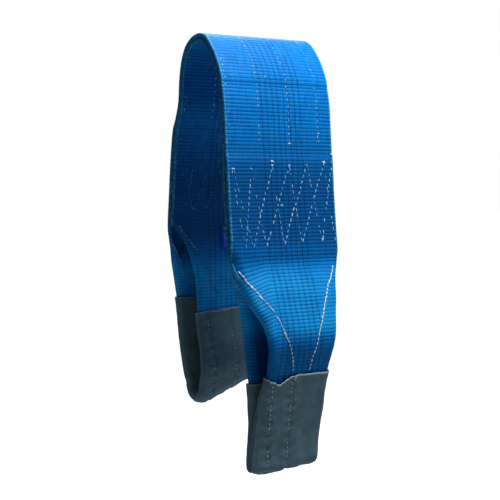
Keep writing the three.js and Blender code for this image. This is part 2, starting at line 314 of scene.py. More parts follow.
def webbing(name, look):
    # Woven high-tenacity polyester: smooth filament yarns, so the ribs shine softly, with painted shade in
    # the valleys
    material, add = newMaterial(name)
    uv = add("UVMap", {}, uv_map="cloth")
    across, along = add("SeparateXYZ", {0: uv}, "X"), add("SeparateXYZ", {0: uv}, "Y")
    place = add("TexCoord", {}, "Object")
    ribs = add("Math", {0: along, 1: look["rib"] * mm}, operation="DIVIDE")
    phase = add("Math", {0: ribs}, operation="FRACT")
    centred = add("Math", {0: phase, 1: 2.0, 2: -1.0}, operation="MULTIPLY_ADD")
    valley = add("Math", {0: centred}, operation="ABSOLUTE")
    deep = add("MapRange", {0: valley, 1: 0.35, 2: 1.0, 3: 0.0, 4: 1.0}, interpolation_type="SMOOTHSTEP")
    # faded patches, and yarns of slightly different shades
    fading = add("TexNoise", {"Vector": place, "Scale": 1 / (45 * mm), "Detail": 3.0})
    colour = add("Mix", {0: fading, 6: linear(look["dark"]), 7: linear(look["light"])}, 2, data_type="RGBA")
    streak = add("VectorMath", {0: uv, 1: (420.0, 34.0, 0.0)}, operation="MULTIPLY")
    yarns = add("TexNoise", {"Vector": streak, "Scale": 1.0, "Detail": 2.0})
    yarnShade = add("MapRange", {0: yarns, 1: 0.3, 2: 0.75, 3: 0.0, 4: 0.5})
    colour = add("Mix", {0: yarnShade, 6: colour, 7: linear(look["crest"])}, 2, data_type="RGBA")
    # painted shade over a band of height round the stitched blocks
    down = add("SeparateXYZ", {0: place}, "Z")
    below = add("MapRange", {0: down, 1: -0.12, 2: -0.235, 3: 0.0, 4: 1.0}, interpolation_type="SMOOTHSTEP")
    above = add("MapRange", {0: down, 1: -0.30, 2: -0.37, 3: look["paintedShade"], 4: 0.0},
                interpolation_type="SMOOTHSTEP")
    paintedShade = add("Math", {0: below, 1: above}, operation="MULTIPLY")
    colour = add("Mix", {0: paintedShade, 6: colour, 7: linear(look["paintedShadeColour"])}, 2, data_type="RGBA")
    # painted light where the eye bulges, and painted shade again above the sleeve
    bulge = add("MapRange", {0: down, 1: -0.34, 2: -0.385, 3: 0.0, 4: 1.0}, interpolation_type="SMOOTHSTEP")
    paintedLight = add("MapRange", {0: down, 1: -0.445, 2: -0.475, 3: look["paintedLightShare"], 4: 0.0},
              interpolation_type="SMOOTHSTEP")
    uneven = add("MapRange", {0: fading, 1: 0.36, 2: 0.6, 3: 0.55, 4: 1.0})
    band = add("Math", {0: bulge, 1: paintedLight}, operation="MULTIPLY")
    paintedLightShare = add("Math", {0: band, 1: uneven}, operation="MULTIPLY")
    colour = add("Mix", {0: paintedLightShare, 6: colour, 7: linear(look["paintedLight"])}, 2, data_type="RGBA")
    lowPaintedShade = add("MapRange", {0: down, 1: -0.455, 2: -0.50, 3: 0.0, 4: look["paintedShade"] * 0.5},
                  interpolation_type="SMOOTHSTEP")
    colour = add("Mix", {0: lowPaintedShade, 6: colour, 7: linear(look["paintedShadeColour"])}, 2, data_type="RGBA")
    # painted shade in the rib valleys, weaker in pressed patches where the ribs show less
    patch = add("TexNoise", {"Vector": place, "Scale": 1 / (60 * mm), "Detail": 1.0})
    valleyShadeStrength = add("MapRange", {0: patch, 1: 0.36, 2: 0.62, 3: 0.35 * look["valley"], 4: look["valley"]})
    depth = add("Math", {0: deep, 1: valleyShadeStrength}, operation="MULTIPLY")
    colour = add("Mix", {0: depth, 6: colour, 7: linear(look["deep"])}, 2, data_type="RGBA")
    if look["stripes"]:
        # eight marker yarns, darker where they dive into the valleys
        start, pitch = -36.5 * mm, 10.2 * mm
        run = add("MapRange", {0: across, 1: start, 2: start + pitch, 3: 0.0, 4: 1.0}, clamp=False)
        marked = add("Math", {0: run, 1: 4.0, 2: 3.99}, operation="COMPARE")
        within = add("Math", {0: run}, operation="FRACT")
        offset = add("Math", {0: within, 1: 0.5}, operation="SUBTRACT")
        away = add("Math", {0: offset}, operation="ABSOLUTE")
        line = add("MapRange", {0: away, 1: 0.04, 2: 0.18, 3: 1.0, 4: 0.0}, interpolation_type="SMOOTHSTEP")
        dash = add("Math", {0: deep, 1: 0.5, 2: 0.27}, operation="MULTIPLY_ADD")
        stripe = add("Math", {0: line, 1: marked}, operation="MULTIPLY")
        mark = add("Math", {0: stripe, 1: dash}, operation="MULTIPLY")
        colour = add("Mix", {0: mark, 6: colour, 7: linear(look["marker"])}, 2, data_type="RGBA")
    # the selvedge: a pale line, partly fraying and partly a painted highlight on the rounded edge, then the
    # darker side of the strap
    outwards = add("Math", {0: across}, operation="ABSOLUTE")
    edgeStart = look["edgeFrom"] * mm
    edge = add("MapRange", {0: outwards, 1: edgeStart, 2: edgeStart + 1.4 * mm, 3: 0.0, 4: look["edgeShare"]})
    fibres = add("TexNoise", {"Vector": place, "Scale": 1 / (4 * mm), "Detail": 2.0})
    frays = add("MapRange", {0: fibres, 1: 0.35, 2: 0.62, 3: 0.15, 4: 1.0})
    frayAndHighlight = add("Math", {0: edge, 1: frays}, operation="MULTIPLY")
    colour = add("Mix", {0: frayAndHighlight, 6: colour, 7: linear(look["edge"])}, 2, data_type="RGBA")
    side = add("MapRange", {0: outwards, 1: edgeStart + 2.6 * mm, 2: edgeStart + 3.6 * mm, 3: 0.0, 4: 0.9})
    fleck = add("MapRange", {0: fibres, 1: 0.5, 2: 0.66, 3: 0.0, 4: 0.7})
    sideTone = add("Mix", {0: fleck, 6: linear(look["side"]), 7: linear(look["edge"])}, 2, data_type="RGBA")
    colour = add("Mix", {0: side, 6: colour, 7: sideTone}, 2, data_type="RGBA")
    # warp yarns over each rib, drawn at 2.9 mm because the real 1.2 mm is too fine to show
    turns = add("Math", {0: across, 1: 2 * math.pi / (2.9 * mm)}, operation="MULTIPLY")
    warp = add("Math", {0: turns}, operation="SINE")
    fuzz = add("TexNoise", {"Vector": place, "Scale": 1 / (1.6 * mm), "Detail": 2.0})
    rough = add("Math", {0: fuzz, 1: 0.35}, operation="MULTIPLY")
    height = add("Math", {0: warp, 1: 0.12, 2: rough}, operation="MULTIPLY_ADD")
    height = add("Math", {0: deep, 1: -0.8, 2: height}, operation="MULTIPLY_ADD")
    bump = add("Bump", {"Strength": look["bump"], "Distance": 0.5 * mm, "Height": height})
    shader = add("BsdfPrincipled", {"Base Color": colour, "Roughness": look["roughness"], "IOR": 1.57,
                                    "Specular IOR Level": look["gloss"], "Normal": bump})
    add("OutputMaterial", {0: shader})
    return material


def twill(name, look):
    # Spun polyester twill: matt grey, faint diagonals, scuffed lighter in specks and paler along the hems
    material, add = newMaterial(name)
    uv = add("UVMap", {}, uv_map="cloth")
    place = add("TexCoord", {}, "Object")
    # diagonals drawn at 3.4 mm, coarser than the real 1 mm, which is too fine to show
    slant = add("VectorMath", {0: uv, 1: (1.0, 0.7, 0.0)}, "Value", operation="DOT_PRODUCT")
    turns = add("Math", {0: slant, 1: 2 * math.pi / (look["rib"] * mm)}, operation="MULTIPLY")
    rib = add("Math", {0: turns}, operation="SINE")
    blotch = add("TexNoise", {"Vector": place, "Scale": 1 / (30 * mm), "Detail": 4.0})
    fuzz = add("TexNoise", {"Vector": place, "Scale": 1 / (2.2 * mm), "Detail": 3.0})
    colour = add("Mix", {0: blotch, 6: linear(look["dark"]), 7: linear(look["light"])}, 2, data_type="RGBA")
    crest = add("Math", {0: rib, 1: 0.12, 2: 0.12}, operation="MULTIPLY_ADD")
    colour = add("Mix", {0: crest, 6: colour, 7: linear(look["worn"])}, 2, data_type="RGBA")
    speck = add("MapRange", {0: fuzz, 1: 0.5, 2: 0.8, 3: 0.0, 4: 0.55})
    colour = add("Mix", {0: speck, 6: colour, 7: linear(look["worn"])}, 2, data_type="RGBA")
    hem = add("Attribute", {}, "Fac", attribute_name="hem")
    hemShare = add("Math", {0: hem, 1: 0.8}, operation="MULTIPLY")
    colour = add("Mix", {0: hemShare, 6: colour, 7: linear(look["hem"])}, 2, data_type="RGBA")
    rough = add("Math", {0: fuzz, 1: 0.7}, operation="MULTIPLY")
    height = add("Math", {0: rib, 1: 0.3, 2: rough}, operation="MULTIPLY_ADD")
    bump = add("Bump", {"Strength": 0.5, "Distance": 0.5 * mm, "Height": height})
    shader = add("BsdfPrincipled", {
        "Base Color": colour, "Roughness": 0.85, "IOR": 1.5, "Specular IOR Level": 0.15, "Sheen Weight": 0.1,
        "Sheen Roughness": 0.6, "Sheen Tint": linear("c6d4dc"), "Normal": bump})
    add("OutputMaterial", {0: shader})
    return material


def yarn(name, look):
    # Bonded polyester thread: pale, slightly waxy, grubby in patches
    material, add = newMaterial(name)
    place = add("TexCoord", {}, "Object")
    grime = add("TexNoise", {"Vector": place, "Scale": 1 / (20 * mm), "Detail": 3.0})
    dirt = add("MapRange", {0: grime, 1: look["from"], 2: look["to"], 3: 0.0, 4: 1.0})
    colour = add("Mix", {0: dirt, 6: linear(look["clean"]), 7: linear(look["grubby"])}, 2, data_type="RGBA")
    strands = add("TexNoise", {"Vector": place, "Scale": 1 / (0.6 * mm), "Detail": 1.0})
    bump = add("Bump", {"Strength": 0.3, "Distance": 0.2 * mm, "Height": strands})
    shader = add("BsdfPrincipled", {"Base Color": colour, "Roughness": 0.5, "IOR": 1.55, "Sheen Weight": 0.1,
                                    "Normal": bump})
    add("OutputMaterial", {0: shader})
    return material


def vinyl(name, look):
    # Woven cloth with a coloured vinyl coat: smooth, a little shiny, faintly mottled
    material, add = newMaterial(name)
    place = add("TexCoord", {}, "Object")
    grain = add("TexNoise", {"Vector": place, "Scale": 1 / (3.5 * mm), "Detail": 3.0})
    colour = add("Mix", {0: grain, 6: linear(look["dark"]), 7: linear(look["light"])}, 2, data_type="RGBA")
    bump = add("Bump", {"Strength": 0.25, "Distance": 0.2 * mm, "Height": grain})
    shader = add("BsdfPrincipled", {"Base Color": colour, "Roughness": 0.38, "IOR": 1.52, "Normal": bump})
    add("OutputMaterial", {0: shader})
    return material


webLook = {
    # valley and deep: share and colour of the painted shade in the rib valleys
    "rib": web["rib"], "valley": 0.5, "stripes": True,
    "dark": "0060b0", "light": "006ccc", "crest": "009ee2", "deep": "00448c", "marker": "001440",
    # edge: the pale selvedge line, partly a painted highlight
    "edge": "4ab0dc", "side": "1468a8", "edgeFrom": 95.6, "edgeShare": 0.75,
    "bump": 0.6, "roughness": 0.45, "gloss": 0.05,
    # colours and shares of the painted shade and painted light in bands down the eyes
    "paintedShadeColour": "002c5c", "paintedShade": 0.62, "paintedLight": "22b4ff", "paintedLightShare": 0.5,
}
linerLook = dict(webLook, dark="06417f", light="084f98", crest="1c6cb4", stripes=False, rib=3.1, edgeFrom=200,
                 bump=0.4)
sleeveLook = {"dark": "2c4a5c", "light": "587888", "worn": "70909c", "hem": "b4c6ce", "rib": 3.4}
whiteThread = {"clean": "f0f6fb", "grubby": "a8d4f2", "from": 0.42, "to": 0.68}
fadedThread = {"clean": "b4e0fc", "grubby": "46a0ec", "from": 0.38, "to": 0.58}
# thread with painted shade: white thread coloured as it looks in shade
shadedThread = {"clean": "3686be", "grubby": "0f4f8c", "from": 0.4, "to": 0.6}
greyThread = {"clean": "cfd2c6", "grubby": "7e8c92", "from": 0.36, "to": 0.6}
labelLook = {"dark": "0a3cf0", "light": "1048ff"}
# the label's margin, coloured like the web in painted shade
shadedMarginLook = {"dark": "053c74", "light": "08508e"}
print("materials")
polyesterWeb = webbing("woven polyester web", webLook)
polyesterLiner = webbing("thin polyester web", linerLook)
sleeveTwill = twill("polyester twill", sleeveLook)
sewingYarn = yarn("bonded polyester thread", whiteThread)
fadedYarn = yarn("worn polyester thread", fadedThread)
# the thread with painted shade
shadedYarn = yarn("soiled polyester thread", shadedThread)
sleeveYarn = yarn("grey polyester thread", greyThread)
coatedCloth = vinyl("vinyl coated cloth", labelLook)
# the label's margin cloth in painted shade
shadedMarginCloth = vinyl("soiled vinyl coated cloth", shadedMarginLook)


def finishPiece(piece, material, nodes):
    piece.data.materials.clear()
    piece.data.materials.append(material)
    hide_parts(*nodes)


# Web, upper lengths: two plies from the crown to just above each stitched block
def bodyLine(limb):
    # the middle of the body, from the crown's top down
    start = reversed(crown["front"]) if limb is front else crown["back"]
    return smoothLine([*start, *limb["body"]])


def upperPlace(path, outward, apart, section, rows, sway):
    def place(i, j):
        w, h, flat = section[i]
        s, rise = rows[j]
        p = at(path, s)
        n = sideAt(path, s) * outward
        sink = sum(math.exp(-((w - x) / 3.0) ** 2) for x in web["seams"]) * web["seamSink"] * flat
        deep = (abs(h) + rise * web["relief"] * flat - sink) * (1 if h > 0 else -1) if flat else h
        lift = apart + deep + sway(w, s)
        return (w, p.x + n.x * lift, p.y + n.y * lift)

    return place


def upperWeb(limb, ply):
    line, cut = cutLine(bodyLine(limb), limb["cut"])
    path = measured(line[:cut + 1])
    count = round(path["length"] / web["rib"])
    stretch = path["length"] / (count * web["rib"])
    rows = [(s * stretch, rise) for s, rise in ribRows(count * web["rib"])]
    seamPlaces = sorted({x + d for x in web["seams"] for d in (-3, 0, 3)} | {-web["faceEnd"], web["faceEnd"]})
    places = spread([-web["faceEnd"], (web["faceEnd"], 8)])
    places = sorted([*(p for p in places if min(abs(p - q) for q in seamPlaces) > 2.4), *seamPlaces])
    section = clothSection(places, web["halfThick"], web["edgeRound"], web["halfWidth"])
    apart = web["plyApart"] if ply == "outer" else -web["plyApart"]

    def sway(w, s):
        # slight waves in the outer ply, none where the lengths of web meet
        calm = fade(s, 25, 60) * (1 - fade(s, path["length"] - 45, path["length"] - 5))
        return 0.0 if ply == "inner" else 0.5 * calm * noise.noise(Vector((w / 45, s / 35, 3)))

    name = f"web_{limb['name']}_upper_{ply}"
    place = upperPlace(path, limb["outward"], apart, section, rows, sway)
    piece = gridPiece(name, len(section), len(rows), place,
                      lambda i, j: (section[i % len(section)][0], rows[j][0] / stretch))
    nodes = [f"{limb['name']}_limb_{ply}_ply"] + ([f"crown_{ply}_ply"] if limb is front else [])
    finishPiece(piece, polyesterWeb, nodes)
    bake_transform(piece)
    return path


# Web, lower lengths: down one ply, round the eye with folded edges, and up the other ply
def cutLine(line, height):
    # the line with a point exactly at a height, and that point's place in the list
    i = next(k for k, p in enumerate(line) if p.y < height)
    a, b = line[i - 1], line[i]
    return [*line[:i], a.lerp(b, (height - a.y) / (b.y - a.y)), *line[i:]], i


def loopPath(limb):
    body, cut = cutLine(bodyLine(limb), limb["cut"])
    kept = [k for k, p in enumerate(body) if k >= cut and p.y >= limb["bodyEnd"]]
    start, end = limb["parting"]

    def apart(z):
        return web["plyApart"] + (web["blockApart"] - web["plyApart"]) * fade(-z, -start, -end)

    outer = shiftLine(body, lambda z: limb["outward"] * apart(z))
    inner = shiftLine(body, lambda z: -limb["outward"] * apart(z))
    down = [outer[k] for k in kept]
    up = [inner[k] for k in reversed(kept)]
    bend = limb["bend"]
    radius = bend["radius"]
    ends = (math.pi, 2 * math.pi) if limb is front else (2 * math.pi, math.pi)
    turn = []
    for k in range(9):
        angle = ends[0] + (ends[1] - ends[0]) * k / 8
        turn.append([bend["y"] + radius * math.cos(angle), bend["z"] + radius * math.sin(angle)])
    eye = smoothLine([down[-1], *limb["firstLeg"], *turn, *limb["lastLeg"], up[0]])
    return measured([*down[:-1], *eye, *up[1:]])


def loopMarks(path):
    # how far along the loop its lowest point is, and a height on its first or last leg
    heights = [p.y for p in path["points"]]
    low = heights.index(min(heights))
    bottom = path["lengths"][low]

    def distance(height, first):
        order = range(low) if first else range(len(heights) - 1, low, -1)
        return path["lengths"][min(order, key=lambda i: abs(heights[i] - height))]

    return bottom, distance


def tilt(limb, x, z):
    # each eye hangs with its right-hand edge a little higher
    return limb["slope"] * max(x + 50, 0) * fade(-z, *limb["slopeSpan"])


def skewAt(x, z):
    # on the front eye's near leg the weft drops towards the folded edge
    skew = front["skew"]
    calm = fade(-z, -skew["top"], -skew["top"] + 50) * (1 - fade(-z, -skew["bottom"] - 60, -skew["bottom"]))
    return -skew["by"] * max(skew["from"] - x, 0) * calm


def foldedPoint(w, h, flat, roll):
    # the place of a point of the cloth once its edge is rolled and turned in
    hand = 1 if w > 0 else -1
    run = abs(w) - flat
    if run <= 0:
        return w, h
    turn = min(run / roll, math.pi)
    x = flat + roll * math.sin(turn) - max(run - math.pi * roll, 0)
    lift = -roll * (1 - math.cos(turn))
    return hand * (x + h * math.sin(turn)), lift + h * math.cos(turn)


drapes = {
    "sag": 2.0, "sagSize": (42, 55), "ripple": 0.7, "rippleSize": (17, 24),
    "tuck": 2.2,  # how far the web sinks under its sleeve
    "backNear": 0.25,  # share of the waves on the back eye's near leg, which hangs straight
    "bendFrom": 1.7, "bendTo": 3.2,  # reach of the bend at the bottom, in bend radii
    "straightLimit": 60,  # deepest fold away from the bend
    "unfolded": 99.6, "leastRoll": 4.0,  # half width past which an edge isn't folded, and its tightest roll
}


def bentShare(limb, s, bottom):
    # 1 at the bottom of the loop, 0 on its straight legs
    radius = limb["bend"]["radius"]
    return 1 - fade(abs(s - bottom), radius * drapes["bendFrom"], radius * drapes["bendTo"])


def lowerSurface(limb, path):
    # a function from a place on the cloth to a place in space
    bottom, distance = loopMarks(path)
    flats = flatTables(limb)
    roll = table(limb["roll"], 1)
    radius = limb["bend"]["radius"]
    throat = limb["bodyEnd"]
    hems = [distance(max(z for x, z in limb["hem"][leg]), leg == "first") for leg in ("first", "last")]

    def surface(w, s, h, wave=1.0):
        p = at(path, s)
        n = sideAt(path, s) * limb["outward"]
        first = s < bottom
        flat = flats[first][w > 0](p.y)
        x, lift = w, h
        if flat < drapes["unfolded"]:
            x, lift = foldedPoint(w, h, flat, max(roll(p.y), drapes["leastRoll"]))
        bare = min(fade(s, hems[0] + 6, hems[0] - 6) + fade(s, hems[1] - 6, hems[1] + 6), 1)
        inBend = bentShare(limb, s, bottom)
        lift = max(lift, -(radius - 3) * inBend - drapes["straightLimit"] * (1 - inBend))
        lift -= drapes["tuck"] * (1 - bare) * fade(lift, -7, -1)
        loose = bare * fade(-p.y, -throat + 16, -throat + 60)
        if limb is back and not first:
            loose *= drapes["backNear"]
        sag = noise.noise(Vector((w / drapes["sagSize"][0], s / drapes["sagSize"][1], 7)))
        ripple = noise.noise(Vector((w / drapes["rippleSize"][0], s / drapes["rippleSize"][1], 2)))
        lift += wave * loose * (drapes["sag"] * sag + drapes["ripple"] * ripple)
        z = p.y + n.y * lift
        z += tilt(limb, x, z)
        if limb is front and first:
            z += skewAt(x, p.y)
        return (x, p.x + n.x * lift, z)

    return surface, bottom, distance


def lowerWeb(limb):
    path = loopPath(limb)
    surface, bottom, distance = lowerSurface(limb, path)
    hemLow = {leg: min(z for x, z in limb["hem"][leg]) for leg in ("first", "last")}
    hidden = (distance(hemLow["first"] - 14, True), distance(hemLow["last"] - 14, False))
    rows = ribRows(path["length"], hidden)
    places = spread([-web["faceEnd"], (-44, 2.6), (44, 8.8), (web["faceEnd"], 2.6)])
    section = clothSection(places, web["halfThick"], web["edgeRound"], web["halfWidth"])

    def place(i, j):
        w, h, flat = section[i]
        s, rise = rows[j]
        if flat:
            h += rise * web["relief"] * (1 if h > 0 else -1)
        return surface(w, s, h)

    piece = gridPiece(f"web_{limb['name']}_eye", len(section), len(rows), place,
                      lambda i, j: (section[i % len(section)][0], rows[j][0]))
    finishPiece(piece, polyesterWeb, [f"{limb['name']}_eye_web"])
    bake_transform(piece)
    return path, surface, bottom, distance


# Liner inside each eye
liner = {
    "thick": 2.0, "tail": 4.55, "eye": 12.9, "tailHalf": 50, "inset": 7, "widest": 80,
    "belowParting": 14, "step": 5, "bendGap": 1.6,
}


def eyeLiner(limb, path, bottom, distance):
    tailTop = limb["parting"][1] - liner["belowParting"]
    start, end = distance(tailTop, True), distance(tailTop, False)
    flats = flatTables(limb)
    count = round((end - start) / liner["step"])
    rows = [start + (end - start) * k / count for k in range(count + 1)]
    section = clothSection(spread([-1, (1, 0.1)]), liner["thick"] / 2, 0.012, 1.0)

    def place(i, j):
        w, h, flat = section[i]
        s = rows[j]
        p = at(path, s)
        n = sideAt(path, s) * limb["outward"]
        opened = fade(-p.y, -limb["bodyEnd"] + 8, -limb["bodyEnd"] + 75)
        inBend = bentShare(limb, s, bottom)
        sunk = liner["tail"] + (liner["eye"] - liner["tail"]) * opened
        sunk = sunk * (1 - inBend) + min(sunk, limb["bend"]["radius"] - liner["bendGap"]) * inBend
        reach = min(flats[s < bottom][w > 0](p.y), liner["widest"]) - liner["inset"]
        x = w * (liner["tailHalf"] + (reach - liner["tailHalf"]) * opened)
        lift = h - sunk
        z = p.y + n.y * lift
        return (x, p.x + n.x * lift, z + tilt(limb, x, z))

    piece = gridPiece(f"liner_{limb['name']}", len(section), len(rows), place,
                      lambda i, j: (section[i % len(section)][0] * 50, rows[j]))
    name = limb["name"]
    finishPiece(piece, polyesterLiner,
                [f"{name}_eye_liner", f"{name}_liner_tail_outer", f"{name}_liner_tail_inner"])
    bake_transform(piece)


# Wear sleeves: a flat sewn tube of twill on each eye
sleeve = {
    "thick": 1.3, "outer": 4.9, "inner": 15.2, "ease": 2.6, "half": 60, "step": 3.4,
    "seams": {"front": (-42, -6), "back": (-41, 2)}, "seamDepth": 1.9, "gather": 1.3, "facet": 0.13,
    "hemDepth": 13, "hemWall": 0.5, "pucker": 1.7, "crinkle": 0.85,
    "bunch": 1.4, "bunchReach": 46,
}


def sleeveOutline(left, right, outer, inner):
    # the tube's closed section as (x, lift), with a turned facet at its left edge
    corners = [
        (left + 15, outer), (left + 5, outer - 2.5), (left, -2.0), (left + 1.5, -inner * 0.72),
        (left + 9, -inner), (left * 0.45, -inner - 0.4), (right * 0.45, -inner - 0.4), (right - 8, -inner),
        (right - 1, -inner * 0.66), (right, -1.0), (right - 4, outer - 1.2), (right - 13, outer),
        (right * 0.4, outer + 0.5), (left * 0.35, outer + 0.5),
    ]
    count = len(corners)
    line = []
    for k in range(count):
        a, b, c, d = (Vector(corners[(k + m) % count]) for m in (-1, 0, 1, 2))
        steps = max(3, round((c - b).length / 3.2))
        for m in range(steps):
            t = m / steps
            line.append(0.5 * (2 * b + (c - a) * t + (2 * a - 5 * b + 4 * c - d) * t * t
                               + (3 * b - a - 3 * c + d) * t ** 3))
    return line


def eyeSleeve(limb, path, bottom, distance):
    name = limb["name"]
    flats = flatTables(limb)
    roll = table(limb["roll"], 1)
    radius = limb["bend"]["radius"]
    hems = {leg: table([[x, z] for x, z in limb["hem"][leg]], 1) for leg in ("first", "last")}
    starts = {x: distance(hems["first"](x), True) for x in range(-80, 81, 4)}
    ends = {x: distance(hems["last"](x), False) for x in range(-80, 81, 4)}
    half = sleeve["half"]
    template = sleeveOutline(-half, half, sleeve["outer"], sleeve["inner"])
    shares = [(p.x / half, p.y) for p in template]
    rowCount = round((ends[0] - starts[0]) / sleeve["step"])
    hemValues = {}

    def reach(marks, x):
        x = min(max(x, -79.9), 79.9)
        low = math.floor(x / 4) * 4
        share = (x - low) / 4
        return marks[low] * (1 - share) + marks[low + 4] * share

    def place(i, j):
        share, depth = shares[i]
        t = j / (rowCount - 1)
        s0, s1 = reach(starts, share * half), reach(ends, share * half)
        s = s0 + (s1 - s0) * t
        p = at(path, s)
        n = sideAt(path, s) * limb["outward"]
        edge = flats[s < bottom][share > 0](p.y) + max(roll(p.y), drapes["leastRoll"]) + web["halfThick"]
        x = share * (edge + sleeve["ease"])
        inBend = 1 - fade(abs(s - bottom), radius * 1.7, radius * 3.4)
        fromHem = min(s - s0, s1 - s)
        hemValues[(i, j)] = 1 - fade(fromHem, 0.5, 3.4)
        out = sleeve["hemWall"] * (1 - fade(fromHem, sleeve["hemDepth"] - 1.5, sleeve["hemDepth"]))
        outer = depth > 0
        if outer:
            for seam in sleeve["seams"][name]:
                near = abs(x - seam)
                gathers = sleeve["gather"] * math.sin(s / 2.7 + seam + 2 * math.sin(s / 31))
                out += gathers * math.exp(-(near / 9) ** 2)
                out -= sleeve["seamDepth"] * math.exp(-(near / 2.2) ** 2)
            if limb is front:
                out -= sleeve["facet"] * min(max(sleeve["seams"][name][0] - x, 0), 14)
        out += sleeve["pucker"] * noise.noise(Vector((x / 20, s / 34, 1 if outer else 9)))
        out += sleeve["crinkle"] * noise.noise(Vector((x / 8, s / 12, 5 if outer else 8)))
        if limb is back and depth < -4:
            # the inner wall bunches up inside the bend
            bunched = fade(sleeve["bunchReach"] - abs(s - bottom), 0, 30)
            out += sleeve["bunch"] * bunched * math.sin((s - bottom) / 2.6 + 0.9 * math.sin(x / 17))
        lift = depth + out * (1 if depth > -2 else -1)
        lift = max(lift, -(radius - 0.9) * inBend - drapes["straightLimit"] * (1 - inBend))
        z = p.y + n.y * lift
        return (x, p.x + n.x * lift, z + tilt(limb, x, z))

    girth = [0.0]
    for a, b in zip(template, template[1:] + template[:1]):
        girth.append(girth[-1] + (b - a).length)
    piece = gridPiece(f"sleeve_{name}", len(shares), rowCount, place,
                      lambda i, j: (girth[i], j * sleeve["step"]), capped=False)
    hem = piece.data.attributes.new("hem", "FLOAT", "POINT")
    spots = {}
    for (i, j), value in hemValues.items():
        spots[tuple(round(c * mm, 6) for c in place(i, j))] = value
    keys = [tuple(round(c, 6) for c in v.co) for v in piece.data.vertices]
    hem.data.foreach_set("value", [spots.get(key, 0.0) for key in keys])
    bpy.context.view_layer.objects.active = piece
    wallCloth = piece.modifiers.new("wall", "SOLIDIFY")
    wallCloth.thickness = sleeve["thick"] * mm
    wallCloth.offset = -1
    bpy.ops.object.modifier_apply(modifier="wall")
    finishPiece(piece, sleeveTwill, [f"{name}_eye_sleeve"])
    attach(piece, f"{name}_eye")
    return starts, ends


# Stitching
def stitchShape():
    bpy.ops.mesh.primitive_uv_sphere_add(segments=6, ring_count=5, radius=0.5, rotation=(0, math.pi / 2, 0))
    shape = bpy.context.object
    bpy.ops.object.transform_apply(location=False, rotation=True, scale=True)
    bpy.ops.object.shade_smooth()
    shape.select_set(False)
    return shape


def sewRow(points, normals, look):
    # stitches along a row of places in space, one every pitch
    stitches = []
    lengths = [0.0]
    for a, b in zip(points, points[1:]):
        lengths.append(lengths[-1] + (b - a).length)
    s = look["pitch"] * 0.5
    while s < lengths[-1]:
        i = min(bisect_right(lengths, s) - 1, len(points) - 2)
        share = (s - lengths[i]) / max(lengths[i + 1] - lengths[i], 1e-6)
        here = points[i].lerp(points[i + 1], share)
        along = (points[i + 1] - points[i]).normalized()
        up = normals[i]
        s += look["pitch"]
        worn = random.random()
        turn = random.gauss(0, look["wander"])
        long = look["length"] * random.uniform(0.8, 1.15)
        wide = look["width"] * random.uniform(0.85, 1.2)
        if worn < look["missing"]:
            continue
        if worn > 1 - look["bright"]:
            wide *= 1.5
        across = up.cross(along).normalized()
        cos, sin = math.cos(turn), math.sin(turn)
        axes = (along * cos + across * sin, across * cos - along * sin, up)
        turned = Matrix(axes).transposed().to_4x4()
        size = Matrix.Diagonal((long, wide, look["height"], 1))
        stitches.append(Matrix.Translation(here + up * look["lift"]) @ turned @ size)
    return stitches


def sewPiece(name, stitches, material, nodes):
    shape = stitchShape()
    copies = []
    for matrix in stitches:
        copy = shape.copy()
        copy.data = shape.data.copy()
        copy.data.transform(Matrix.Scale(mm, 4) @ matrix)
        bpy.context.collection.objects.link(copy)
        copies.append(copy)
    for copy in copies:
        copy.select_set(True)
    bpy.context.view_layer.objects.active = copies[0]
    bpy.ops.object.join()
    piece = bpy.context.object
    piece.name = name
    piece.select_set(False)
    bpy.data.objects.remove(shape)
    finishPiece(piece, material, nodes)
    return piece


longStitch = {"pitch": 10.8, "length": 4.4, "width": 1.3, "height": 1.1, "lift": 0.1, "wander": 0.15,
              "missing": 0.2, "bright": 0.08}
blockStitch = {"pitch": 9.4, "length": 6.6, "width": 1.9, "height": 1.6, "lift": 0.5, "wander": 0.1,
               "missing": 0.05, "bright": 0.1}
wornBlockStitch = dict(blockStitch, width=1.4, height=1.2, lift=0.3, missing=0.3, bright=0.03)
foldStitch = {"pitch": 7.0, "length": 7.6, "width": 2.0, "height": 1.5, "lift": 0.35, "wander": 0.05,
              "missing": 0.03, "bright": 0.1}
wornFoldStitch = dict(foldStitch, length=5.6, width=1.6, missing=0.14)
sleeveStitch = {"pitch": 7.5, "length": 4.6, "width": 1.5, "height": 1.2, "lift": 0.5, "wander": 0.08,
                "missing": 0.12, "bright": 0.05}
# mended places on the front of the body, as (across, height)
mends = [(72, -151), (17, -160), (-20, -61), (72, -146)]
# turns of the two interleaved zigzags, as (place across, 0 at the top or 1 at the bottom)
block = {
    "rows": [[(-89, 0), (-61, 1), (-19, 0), (-4, 1), (47, 0), (69, 1), (96, 0)],
             [(-92, 0), (-75, 1), (-57, 0), (-37, 1), (13, 0), (30, 1), (80, 0), (94, 1)]],
    "tufts": [(-19, -194), (96, -190), (97, -184), (-4, -262)],
    "height": 124, "front": -202, "back": -147, "lean": 0.07, "leanFrom": -40,
}


def toRow(places, face):
    points = [face(x, s, 0.0) for x, s in places]
    lifted = [face(x, s, 1.0) for x, s in places]
    return points, [(b - a).normalized() for a, b in zip(points, lifted)]


def knots(places, face, count):
    # loose ends of thread, where a row of stitches turns or was mended
    stitches = []
    for x, s in places:
        spot = face(x, s, 0.0)
        up = (face(x, s, 1.0) - spot).normalized()
        for _ in range(count):
            look = dict(foldStitch, length=random.uniform(4, 8), wander=1.2, missing=0, pitch=2)
            stitches += sewRow([spot, spot + Vector((random.uniform(-2, 2), 0, 2.2))], [up, up], look)
    return stitches


